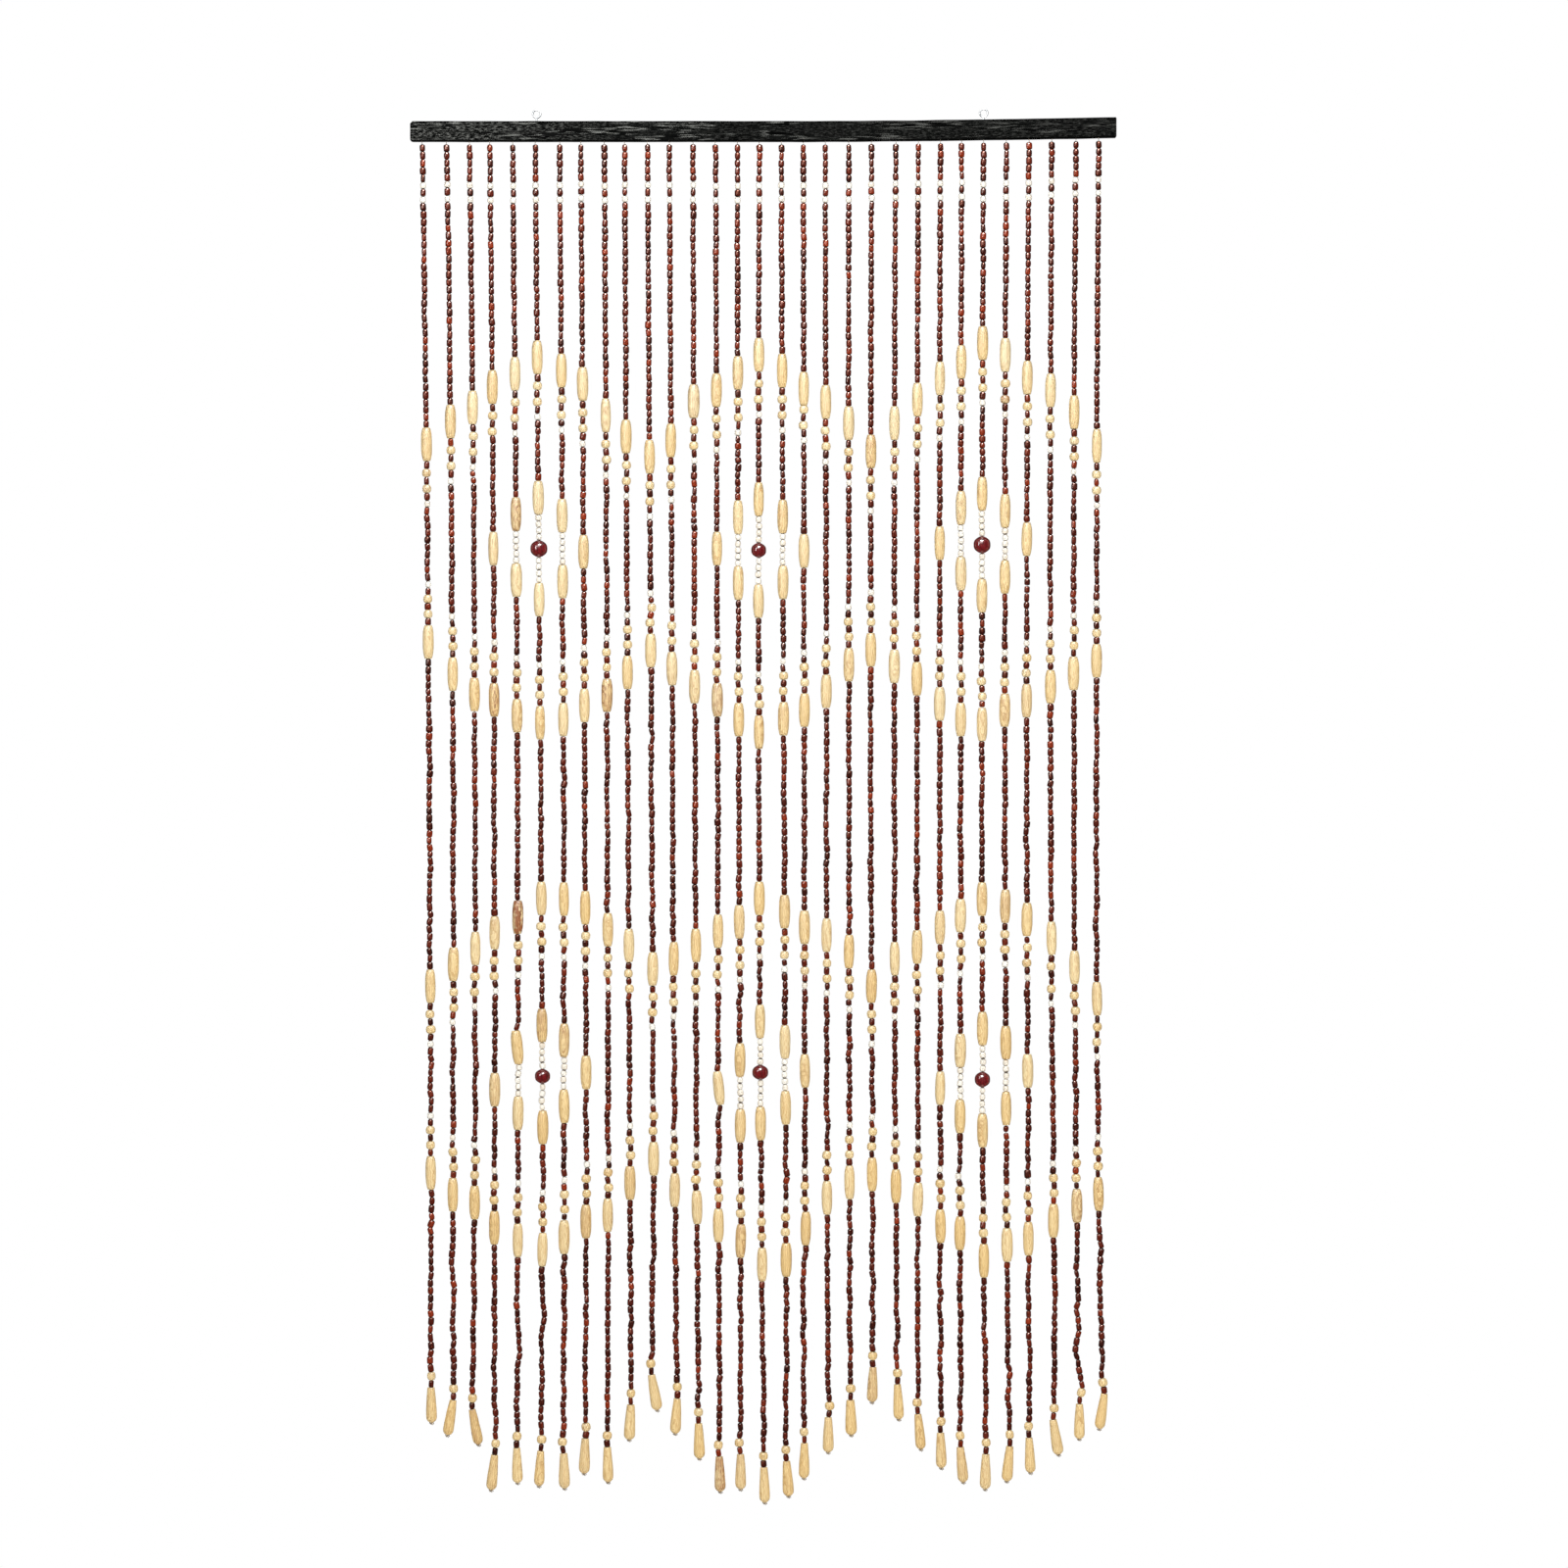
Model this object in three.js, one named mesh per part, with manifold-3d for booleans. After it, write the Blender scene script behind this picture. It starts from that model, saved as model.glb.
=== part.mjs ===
// A door curtain of wooden beads: 31 strings hang from a black-stained batten that has two screw eyes.
// Sizes are in millimetres and +Z is up. The origin is the middle of the batten's back face, and the
// curtain's front looks towards -Y. Levels in the tables are counted down from the batten's middle.
import * as THREE from "three";
import { mergeVertices } from "three/addons/utils/BufferGeometryUtils.js";
import Module from "manifold-3d";

// The batten, whose right end has warped upwards
const battenLength = 900;
const battenHeight = 25;
const battenDepth = 15;
const cornerCut = 1.6;
const warpStart = 130;
const warpRise = 5;
const warpPower = 1.8;
const warpSteps = 8;

// The batten's lowest part is the narrow strip that the strings are rooted in
const stripHeight = 3.6;
const gap = 0.3;

// Screw eyes: a ring of wire on a shank that goes down into the batten
const eyes = [
  { name: "left_eye", x: -289 },
  { name: "right_eye", x: 281 },
];
const wireRadius = 1;
const ringRadius = 5;
const ringLevel = 10; // the ring's middle above the batten's top
const shankDepth = 12;
const shankPoint = 3;
const shankSides = 8;
const ringSteps = 20;
const ringSides = 6;

// Strings: small tube beads in rows, so a string is a three-sided rod with its ridge to the front
const stringSides = 3;
const stringPlane = -battenDepth / 2;
const tubeRadius = 3.5;
const tubeLength = 9.3;
const threadRadius = 1.1;
const threadShows = 3;
const rootDepth = 2;

// Larger beads on the strings
const barrel = { length: 42.8, radius: 6.9, fullLength: 24, shoulder: 1.2 };
const ball = { length: 10.3, radius: 5.8 };
const bigBall = { radius: 10, around: 12, up: 7 };
const drop = { length: 44.5, topRadius: 4.7, radius: 6.95, fullAt: 0.84, endRadius: 3.2 };

// From the middle of a diamond to the barrels inside it, on its middle string and on the next ones
const heartReach = [65, 42, 0];

// One row for each string, left to right. hole is its place along the batten. first and second are
// the upper and lower barrels of the high diamond, third and fourth those of the low diamond. heartA
// and heartB are the middles of the barrels inside them, where the string has any. drop is the middle
// of the hanging drop. bendHigh, bendLow and bendEnd are how far the string strays to the right at
// bendLevels and at the top of its drop, and tilt is the drop's lean to the right in degrees.
const bendLevels = { high: 580, low: 1330 };
const columns = [
  "hole", "first", "heartA", "second", "third", "heartB", "fourth", "drop",
  "bendHigh", "bendLow", "bendEnd", "tilt",
];
const strings = [
  [-435, 399, null, 651, 1090, null, 1328, 1624, 7, 11, 11, 1],
  [-404, 370, null, 692, 1062, null, 1356, 1640, 7, 8, 9, -10],
  [-375, 352, null, 718, 1042, null, 1366, 1652, 6, 7, 4, 10],
  [-349, 326, 532, 725, 1022, 1222, 1398, 1710, 5, 6, 6, -6],
  [-320, 309, 530, 745, 1002, 1210, 1414, 1701, 5, 7, 6, 1],
  [-291, 288, 532, 754, 978, 1205, 1426, 1705, 5, 10, 7, -3],
  [-260, 305, 532, 750, 979, 1201, 1410, 1708, 4, 6, 5, 2],
  [-233, 322, 536, 732, 990, 1200, 1390, 1689, 4, 7, 6, -2],
  [-203, 362, null, 719, 1018, null, 1382, 1700, 3, 5, 4, 1],
  [-177, 389, null, 690, 1038, null, 1341, 1646, 3, 7, 8, -3],
  [-148, 415, null, 662, 1068, null, 1310, 1608, 4, 8, 6, 8],
  [-120, 394, null, 685, 1055, null, 1350, 1638, 3, 7, 10, -3],
  [-90, 344, null, 708, 1038, null, 1372, 1670, 2, 5, 7, 2],
  [-61, 330, 532, 725, 1020, 1220, 1395, 1712, 2, 4, 5, 1],
  [-33, 308, 534, 750, 1008, 1226, 1415, 1709, 1, 4, 4, 0],
  [-5, 285, 534, 766, 978, 1200, 1445, 1726, -1, 2, 6, 1],
  [23, 305, 533, 749, 995, 1203, 1439, 1718, 2, 6, 6, 4],
  [51, 328, 535, 738, 1015, 1198, 1399, 1695, 1, 2, 1, 1],
  [79, 345, null, 714, 1025, null, 1360, 1662, 1, 2, 4, 1],
  [109, 372, null, 680, 1046, null, 1340, 1640, 0, 1, 2, 2],
  [138, 408, null, 661, 1090, null, 1330, 1598, -1, 1, 2, -2],
  [169, 372, null, 682, 1055, null, 1345, 1620, -2, 0, 2, 2],
  [198, 342, null, 698, 1040, null, 1362, 1658, -2, -1, -1, 6],
  [226, 315, 525, 730, 1015, 1220, 1396, 1682, -1, 0, 0, 2],
  [253, 294, 522, 750, 1000, 1214, 1405, 1700, -1, -2, -2, 6],
  [281, 270, 527, 756, 979, 1209, 1440, 1709, -2, -1, 3, -1],
  [310, 285, 526, 738, 988, 1204, 1420, 1699, -2, 0, 4, -4],
  [339, 314, 520, 726, 1005, 1198, 1412, 1688, -3, -1, 0, 2],
  [368, 330, null, 708, 1029, null, 1389, 1665, -2, 2, 2, 8],
  [399, 358, null, 691, 1066, null, 1370, 1645, -3, 0, 4, 1],
  [428, 401, null, 675, 1106, null, 1355, 1632, -3, -1, 5, -8],
].map((row) => Object.fromEntries(columns.map((name, i) => [name, row[i]])));

// The middle string of each diamond, counted from the left
const diamondMiddles = [5, 15, 25];

const wasm = await Module();
wasm.setup();

// A closed geometry as a solid for joins and cuts
function solidOf(geometry) {
  const bare = geometry.clone();
  bare.deleteAttribute("normal");
  bare.deleteAttribute("uv");
  const merged = mergeVertices(bare, 1e-4);
  const corners = merged.index.array;
  const kept = [];
  for (let i = 0; i < corners.length; i += 3) {
    const [a, b, c] = [corners[i], corners[i + 1], corners[i + 2]];
    if (a !== b && b !== c && c !== a) kept.push(a, b, c);
  }
  return new wasm.Manifold(
    new wasm.Mesh({
      numProp: 3,
      vertProperties: merged.attributes.position.array,
      triVerts: new Uint32Array(kept),
    }),
  );
}

function geometryOf(solid) {
  const { vertProperties, triVerts } = solid.getMesh();
  const geometry = new THREE.BufferGeometry();
  geometry.setAttribute("position", new THREE.BufferAttribute(vertProperties, 3));
  geometry.setIndex(new THREE.BufferAttribute(triVerts, 1));
  geometry.computeVertexNormals();
  return geometry;
}

// How far the warp lifts the batten at x
function lift(x) {
  const along = Math.max(0, (x - warpStart) / (battenLength / 2 - warpStart));
  return warpRise * along ** warpPower;
}

// A flat bar as long and as deep as the batten, from height low to height high, that follows the warp
function warpedBar(low, high, cut) {
  const half = battenLength / 2;
  const stations = [];
  for (let i = 0; i <= warpSteps; i++)
    stations.push(warpStart + ((half - cut - warpStart) * i) / warpSteps);
  const upper = [-half + cut, ...stations].map((x) => [x, high + lift(x)]);
  const lower = [-half, ...stations.slice(0, -1), half].map((x) => [x, low + lift(x)]);
  const outline = new THREE.Shape();
  outline.moveTo(-half, low);
  for (const [x, z] of lower.slice(1)) outline.lineTo(x, z);
  outline.lineTo(half, high - cut + lift(half));
  for (const [x, z] of upper.reverse()) outline.lineTo(x, z);
  outline.lineTo(-half, high - cut);
  outline.closePath();
  const bar = new THREE.ExtrudeGeometry(outline, { depth: battenDepth, bevelEnabled: false });
  return bar.rotateX(Math.PI / 2);
}

// A round or three-sided solid turned about an upright axis from [radius, height] steps, bottom to top
function turned(profile, sides) {
  const points = profile.map(([radius, height]) => new THREE.Vector2(radius, height));
  return new THREE.LatheGeometry(points, sides).rotateX(Math.PI / 2);
}

function battenTop(x) {
  return battenHeight / 2 + lift(x);
}

// The eye's shank, widened by clear where it is the hole's cutter
function shank(x, clear, above) {
  const radius = wireRadius + clear;
  const top = battenTop(x) + above;
  const tip = battenTop(x) - shankDepth - clear;
  const profile = [[0, tip], [radius, tip + shankPoint], [radius, top], [0, top]];
  return turned(profile, shankSides).translate(x, stringPlane, 0);
}

function screwEye({ x }) {
  const ring = new THREE.TorusGeometry(ringRadius, wireRadius, ringSides, ringSteps);
  ring.rotateX(Math.PI / 2);
  ring.translate(x, stringPlane, battenTop(x) + ringLevel);
  return solidOf(shank(x, 0, ringLevel - ringRadius)).add(solidOf(ring));
}

function batten() {
  let solid = solidOf(warpedBar(-battenHeight / 2 + stripHeight + gap, battenHeight / 2, cornerCut));
  for (const { x } of eyes) solid = solid.subtract(solidOf(shank(x, gap, ringLevel)));
  return solid;
}

// How far a string strays to the right at a level: a smooth curve down to the lower bend, then
// straight to the top of the drop, which leans by its own tilt
function stray(string, level) {
  const dropTop = string.drop - drop.length / 2;
  const { high, low } = bendLevels;
  if (level > dropTop)
    return string.bendEnd + (level - dropTop) * Math.tan(THREE.MathUtils.degToRad(string.tilt));
  if (level > low)
    return string.bendLow + ((string.bendEnd - string.bendLow) * (level - low)) / (dropTop - low);
  const slopeHigh = string.bendHigh / high;
  const slopeLow = string.bendLow / low;
  return level * (slopeHigh + ((slopeLow - slopeHigh) * (level - high)) / (low - high));
}

// [radius, level] steps of a barrel bead, from top to bottom
function barrelSteps(middle) {
  const half = barrel.length / 2 + barrel.shoulder;
  return [
    [tubeRadius, middle - half],
    [barrel.radius, middle - barrel.fullLength / 2],
    [barrel.radius, middle + barrel.fullLength / 2],
    [tubeRadius, middle + half],
  ];
}

// A barrel with its two balls on the side that faces the diamond's inside, 1 for below and -1 for
// above. A small tube bead parts each bead from the next.
function barrelAndBalls(middle, side) {
  const steps = barrelSteps(middle).slice(side > 0 ? 0 : 1, side > 0 ? 3 : 4);
  let edge = barrel.length / 2;
  for (let i = 0; i < 2; i++) {
    steps.push([tubeRadius, middle + side * (edge + tubeLength / 2)]);
    edge += tubeLength;
    steps.push([ball.radius, middle + side * (edge + ball.length / 2)]);
    edge += ball.length;
  }
  steps.push([tubeRadius, middle + side * (edge + tubeLength / 2)]);
  return steps;
}

// Barrels in the middle of a diamond on strings near its middle string
function heartSteps(middle, away) {
  if (middle === null) return [];
  const reach = heartReach[away];
  return reach ? [...barrelSteps(middle - reach), ...barrelSteps(middle + reach)] : barrelSteps(middle);
}

function dropSteps(middle) {
  const top = middle - drop.length / 2;
  const ballMiddle = top - tubeLength - ball.length / 2;
  return [
    [tubeRadius, ballMiddle - ball.length / 2 - tubeLength / 2],
    [ball.radius, ballMiddle],
    [tubeRadius, top - tubeLength / 2],
    [drop.topRadius, top],
    [drop.radius, top + drop.fullAt * drop.length],
    [drop.endRadius, top + drop.length],
    [0, top + drop.length],
  ];
}

function stringSolid(string, index) {
  const away = Math.min(...diamondMiddles.map((middle) => Math.abs(index - middle)));
  const under = battenHeight / 2 - lift(string.hole);
  const steps = [
    [0, under - rootDepth],
    [threadRadius, under - rootDepth],
    [threadRadius, under + threadShows],
    [tubeRadius, under + threadShows + 1],
    ...barrelAndBalls(string.first, 1),
    ...heartSteps(string.heartA, away),
    ...barrelAndBalls(string.second, -1),
    ...barrelAndBalls(string.third, 1),
    ...heartSteps(string.heartB, away),
    ...barrelAndBalls(string.fourth, -1),
    ...dropSteps(string.drop),
  ];
  steps.sort((a, b) => a[1] - b[1]).reverse();
  // A flat side shows a three-sided rod narrower than round, so the corners stand further out
  const corner = 1 / Math.cos(Math.PI / 6);
  const profile = steps.map(([radius, level]) => [radius * corner, -level]);
  const rod = turned(profile, stringSides);
  const places = rod.attributes.position;
  for (let i = 0; i < places.count; i++)
    places.setX(i, places.getX(i) + string.hole + stray(string, -places.getZ(i)));
  rod.translate(0, stringPlane, 0);
  let solid = solidOf(rod);
  if (away === 0)
    for (const middle of [string.heartA, string.heartB]) {
      const sphere = new THREE.SphereGeometry(bigBall.radius, bigBall.around, bigBall.up);
      sphere.rotateX(Math.PI / 2);
      sphere.translate(string.hole + stray(string, middle), stringPlane, -middle);
      solid = solid.add(solidOf(sphere));
    }
  return solid;
}

function stringSet() {
  const low = -battenHeight / 2;
  const strip = solidOf(warpedBar(low, low + stripHeight, 0));
  return strings.reduce((joined, string, index) => joined.add(stringSolid(string, index)), strip);
}

const blackWood = new THREE.MeshStandardMaterial({ color: 0x1f1e1d, roughness: 0.75, metalness: 0 });
const redBeads = new THREE.MeshStandardMaterial({ color: 0x7d3a30, roughness: 0.35, metalness: 0 });
const zinc = new THREE.MeshStandardMaterial({ color: 0xb9bcbd, roughness: 0.35, metalness: 1 });

function piece(name, solid, material) {
  const mesh = new THREE.Mesh(geometryOf(solid), material);
  mesh.name = name;
  return mesh;
}

const curtain = new THREE.Group();
curtain.add(piece("batten", batten(), blackWood));
curtain.add(piece("string_set", stringSet(), redBeads));
for (const eye of eyes) curtain.add(piece(eye.name, screwEye(eye), zinc));

export default curtain;
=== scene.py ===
import math
import random

import bmesh
import bpy
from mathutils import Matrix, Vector, noise


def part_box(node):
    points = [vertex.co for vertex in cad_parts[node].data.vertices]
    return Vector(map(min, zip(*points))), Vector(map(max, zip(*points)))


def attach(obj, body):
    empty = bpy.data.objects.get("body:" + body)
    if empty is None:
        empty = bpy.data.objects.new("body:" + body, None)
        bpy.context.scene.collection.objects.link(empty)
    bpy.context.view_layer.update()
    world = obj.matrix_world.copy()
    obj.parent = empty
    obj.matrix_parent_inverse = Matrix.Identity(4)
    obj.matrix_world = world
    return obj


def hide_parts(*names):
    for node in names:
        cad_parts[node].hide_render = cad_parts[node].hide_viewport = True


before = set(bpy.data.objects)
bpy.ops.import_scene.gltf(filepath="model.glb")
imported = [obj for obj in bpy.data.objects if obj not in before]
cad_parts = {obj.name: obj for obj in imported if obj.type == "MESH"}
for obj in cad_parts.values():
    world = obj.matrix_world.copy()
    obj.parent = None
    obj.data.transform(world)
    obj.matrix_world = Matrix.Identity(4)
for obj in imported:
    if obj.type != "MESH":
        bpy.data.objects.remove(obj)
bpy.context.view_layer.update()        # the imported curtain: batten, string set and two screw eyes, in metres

mm = 0.001
scene = bpy.context.scene
print("frame loaded:", ", ".join(sorted(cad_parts)))


# Places that every piece shares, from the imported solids
barLow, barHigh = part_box("batten")
barLeft, barRight = barLow.x, barHigh.x
barFront, barBack = barLow.y, barHigh.y
barHeight = 25 * mm        # where the batten is straight, with its middle at height 0
barUnder, barTop = -barHeight / 2, barHeight / 2
stringPlane = (barFront + barBack) / 2

warp = {"start": 0.060, "rise": 0.005, "power": 1.5}


def lift(x):
    # the batten's right end curls up
    along = max(0.0, (x - warp["start"]) / (barRight - warp["start"]))
    return warp["rise"] * along ** warp["power"]


# Strings, left to right, in millimetres. hole is the place along the batten. first and second are the
# outer barrels of the high diamond, third and fourth those of the low one, heartA and heartB the middles
# of the barrels inside them, and drop the hanging drop's middle, all counted down from the batten's
# middle. bendHigh, bendLow and bendEnd are how far the string strays to the right, and tilt is the
# drop's lean in degrees.
bendLevels = {"high": 580, "low": 1330}
columns = (
    "hole", "first", "heartA", "second", "third", "heartB", "fourth", "drop",
    "bendHigh", "bendLow", "bendEnd", "tilt",
)
rows = (
    (-435, 399, None, 651, 1090, None, 1328, 1624, 7, 11, 11, 1),
    (-404, 370, None, 692, 1062, None, 1356, 1640, 7, 8, 9, -10),
    (-375, 352, None, 718, 1042, None, 1366, 1652, 6, 7, 4, 10),
    (-349, 326, 532, 725, 1022, 1222, 1398, 1710, 5, 6, 6, -6),
    (-320, 309, 530, 745, 1002, 1210, 1414, 1701, 5, 7, 6, 1),
    (-291, 288, 532, 754, 978, 1205, 1426, 1705, 5, 10, 7, -3),
    (-260, 305, 532, 750, 979, 1201, 1410, 1708, 4, 6, 5, 2),
    (-233, 322, 536, 732, 990, 1200, 1390, 1689, 4, 7, 6, -2),
    (-203, 362, None, 719, 1018, None, 1382, 1700, 3, 5, 4, 1),
    (-177, 389, None, 690, 1038, None, 1341, 1646, 3, 7, 8, -3),
    (-148, 415, None, 662, 1068, None, 1310, 1608, 4, 8, 6, 8),
    (-120, 394, None, 685, 1055, None, 1350, 1638, 3, 7, 10, -3),
    (-90, 344, None, 708, 1038, None, 1372, 1670, 2, 5, 7, 2),
    (-61, 330, 532, 725, 1020, 1220, 1395, 1712, 2, 4, 5, 1),
    (-33, 308, 534, 750, 1008, 1226, 1415, 1709, 1, 4, 4, 0),
    (-5, 285, 534, 766, 978, 1200, 1445, 1726, -1, 2, 6, 1),
    (23, 305, 533, 749, 995, 1203, 1439, 1718, 2, 6, 6, 4),
    (51, 328, 535, 738, 1015, 1198, 1399, 1695, 1, 2, 1, 1),
    (79, 345, None, 714, 1025, None, 1360, 1662, 1, 2, 4, 1),
    (109, 372, None, 680, 1046, None, 1340, 1640, 0, 1, 2, 2),
    (138, 408, None, 661, 1090, None, 1330, 1598, -1, 1, 2, -2),
    (169, 372, None, 682, 1055, None, 1345, 1620, -2, 0, 2, 2),
    (198, 342, None, 698, 1040, None, 1362, 1658, -2, -1, -1, 6),
    (226, 315, 525, 730, 1015, 1220, 1396, 1682, -1, 0, 0, 2),
    (253, 294, 522, 750, 1000, 1214, 1405, 1700, -1, -2, -2, 6),
    (281, 270, 527, 756, 979, 1209, 1440, 1709, -2, -1, 3, -1),
    (310, 285, 526, 738, 988, 1204, 1420, 1699, -2, 0, 4, -4),
    (339, 314, 520, 726, 1005, 1198, 1412, 1688, -3, -1, 0, 2),
    (368, 330, None, 708, 1029, None, 1389, 1665, -2, 2, 2, 8),
    (399, 358, None, 691, 1066, None, 1370, 1645, -3, 0, 4, 1),
    (428, 401, None, 675, 1106, None, 1355, 1632, -3, -1, 5, -8),
)
strings = [dict(zip(columns, row)) for row in rows]
# The lower of the two white beads near each string's top
topWhites = (
    87, 86, 87, 88, 88, 87, 87, 85, 88, 86, 87, 87, 87, 88, 88, 87,
    86, 87, 87, 87, 85, 84, 85, 84, 83, 86, 84, 84, 81, 79, 78,
)
diamondMiddles = (5, 15, 25)
heart = {
    "reach": (65, 42, 0),        # from its middle to its barrels, by strings away from the middle one
    "whites": 5,                 # white beads between two barrels
    "whitesAtBall": 4,           # white beads between a barrel and the large ball
}

# Where the stringer left the pattern: what follows the barrel, from the barrel outwards
usualTail = ("tube", "ball", "tube", "ball", "tube", "white")
oddTails = {
    (3, "first"): ("tube", "ball", "tube", "ball"),
    (9, "third"): ("tube", "ball", "tube", "ball"),
    (17, "first"): ("ball", "tube", "ball", "tube", "white"),
    (18, "fourth"): ("tube", "ball", "tube", "ball"),
    (28, "third"): ("tube", "ball", "tube", "tube", "ball", "tube", "white"),
}
# Barrels, drops and balls with dark grain or a knot, how strong it is
marked = {
    (4, "third"): 2.0, (8, "second"): 0.7, (3, "second"): 0.7, (13, "second"): 0.55, (20, "first"): 0.35,
    (5, "heartBUpper"): 0.5, (7, "fourth"): 0.3, (13, "drop"): 0.8, (4, "heartAUpper"): 0.6,
    (2, "drop"): 0.4, (24, "drop"): 0.2, (26, "third"): 0.35, (14, "fourth"): 0.4, (27, "second"): 0.2,
    (20, "drop"): 0.35, (11, "second"): 0.2, (3, "heartA"): 0.2, (19, "second"): 0.2,
    (29, "fourth"): 0.35, (3, "heartB"): 0.25, (26, "second"): 0.25, (12, "first"): 0.25,
    (26, "first", 1): 1.0, (0, "first", 0): 0.5, (0, "first", 1): 0.4,
}
# Painted shade: pale wood is made warmer and darker the lower it hangs, where the light falls off: tint added
# at the batten, and for each metre below it
paintedFalloff = {"barrel": (0.05, 0.33), "ball": (0.05, 0.33)}

# Short stretches where a string bulges to the right, or to the left below zero, as (level, how far)
bulges = {
    3: ((1630, 0), (1655, 2.5), (1690, 0)),
    4: ((1135, 0), (1147, -3), (1190, 1), (1205, 0), (1530, 0), (1548, 2.5), (1562, 2.5), (1576, 0)),
    5: ((1480, 0), (1505, 3.0), (1530, 0)),
    13: ((1187, 0), (1199, -2.5), (1242, 2.5), (1256, 0)),
    17: ((1340, 0), (1375, 1.3), (1420, 1.2), (1445, -1.5), (1560, -1), (1650, 0)),
    28: ((1400, 0), (1450, 2), (1600, 1.5), (1625, 0)),
    29: ((1536, 0), (1549, -3.5), (1572, -0.5), (1597, 2.5), (1620, 0)),
    30: ((1590, 0), (1609, 2), (1700, 2)),
}

# Beads in millimetres: length along the thread with the space left below, radius, that space, and how
# much radius and length vary from bead to bead. forms is how many are plain, rounder and tapered, and
# tint how light (0) to warm or dark (1) the wood is.
handCut, jigTurned = (66, 18, 16), (75, 0, 25)
beadColumns = ("length", "radius", "space", "vary", "varyLength", "forms", "tint")
beadRows = {
    "tube": (9.4, 3.65, 0.05, 0.08, 0.06, handCut, (0, 1)),
    "white": (8.6, 3.9, 0.3, 0.05, 0.03, handCut, (0, 1)),
    "ball": (10.3, 5.85, 0.3, 0.03, 0, jigTurned, (0, 0.6)),
    "barrel": (42.8, 6.95, 0.3, 0.03, 0, jigTurned, (0.1, 0.95)),
    "bigBall": (19, 10, 0.2, 0, 0, jigTurned, (0, 1)),
    "drop": (44.5, 6.9, 0.2, 0.03, 0, jigTurned, (0.8, 1.3)),
}
beadSizes = {kind: dict(zip(beadColumns, row)) for kind, row in beadRows.items()}
longKinds = ("barrel", "drop", "bigBall")
# The large balls differ: radius and length
largeBalls = {
    (5, "heartA"): (10.8, 21.5),
    (15, "heartA"): (9.5, 18.8),
    (25, "heartA"): (10.7, 21.8),
    (5, "heartB"): (9.7, 18.6),
    (15, "heartB"): (10.2, 19.0),
    (25, "heartB"): (9.8, 19.6),
}
# The tube beads between a diamond's barrels and balls are picked to length
tailTube = {"first": 9.9, "second": 9.0, "third": 9.2, "fourth": 8.8}
stringing = {
    "threadShows": 4.0,        # bare thread under the batten
    "topRow": ("tube",) * 5 + ("white", "tube", "white"),
    "tubePitch": 9.5,
    "looseShare": 0.06,        # share of the tube beads with a wider gap under them
    "looseGap": 1.5,
    "wobbleTop": 0.28,         # how far the joints between beads stand off the string's line
    "wobbleFoot": 0.95,
    "stiffShare": 0.35,        # the same for the joints of long beads
    "narrowest": 0.82,         # limits of a bead's width, as shares of its kind's radius
    "widest": 1.13,
    "flatShare": 0.4,          # how much of the width's variation makes a bead oval
    "usualMark": (0.04, 0.08),        # dark grain of the beads that aren't marked, mean and spread
    "layoutSeed": 17000,
    "beadSeed": 34000,
}


def bulgeAt(number, level):
    points = bulges.get(number, ())
    for (above, near), (below, far) in zip(points, points[1:]):
        if above <= level <= below:
            return near + (far - near) * (level - above) / (below - above)
    return 0


def strayAt(string, level):
    # the string's line: a smooth curve to the lower bend, then straight to the drop, which leans
    dropTop = string["drop"] - beadSizes["drop"]["length"] / 2
    high, low = bendLevels["high"], bendLevels["low"]
    if level > dropTop:
        return string["bendEnd"] + (level - dropTop) * math.tan(math.radians(string["tilt"]))
    if level > low:
        return string["bendLow"] + (string["bendEnd"] - string["bendLow"]) * (level - low) / (dropTop - low)
    slopeHigh = string["bendHigh"] / high
    slopeLow = string["bendLow"] / low
    return level * (slopeHigh + (slopeLow - slopeHigh) * (level - high) / (low - high))


def placeTail(beads, number, part, middle, side):
    # a barrel and the beads that belong to it, downwards for side 1 and upwards for side -1
    half = beadSizes["barrel"]["length"] / 2
    beads.append(("barrel", middle - half, middle + half, (number, part)))
    edge = middle + side * half
    balls = 0
    for kind in oddTails.get((number, part), usualTail):
        far = edge + side * (tailTube[part] if kind == "tube" else beadSizes[kind]["length"])
        beads.append((kind, min(edge, far), max(edge, far), (number, part, balls)))
        balls += kind == "ball"
        edge = far


def placeHeart(beads, number, part, middle, away):
    # barrels inside a diamond, with white beads and, on its middle string, the large ball between them
    if middle is None:
        return
    half = beadSizes["barrel"]["length"] / 2
    reach = heart["reach"][away]
    for sign in ((-1, 1) if reach else (0,)):
        name = part + ("Upper", "", "Lower")[sign + 1]
        at = middle + sign * reach
        beads.append(("barrel", at - half, at + half, (number, name)))
    if not reach:
        return
    inner = reach - half
    if away == 0:
        ball = largeBalls[number, part][1] / 2
        beads.append(("bigBall", middle - ball, middle + ball, (number, part)))
        spans = ((middle - inner, middle - ball), (middle + ball, middle + inner))
        count = heart["whitesAtBall"]
    else:
        spans = ((middle - inner, middle + inner),)
        count = heart["whites"]
    for top, bottom in spans:
        step = (bottom - top) / count
        for i in range(count):
            beads.append(("white", top + i * step, top + (i + 1) * step, (number, part)))


def placeDrop(beads, number, middle):
    top = middle - beadSizes["drop"]["length"] / 2
    beads.append(("drop", top, top + beadSizes["drop"]["length"], (number, "drop")))
    for kind in ("tube", "ball"):
        above = top - beadSizes[kind]["length"]
        beads.append((kind, above, top, (number, "drop", 0)))
        top = above


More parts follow.
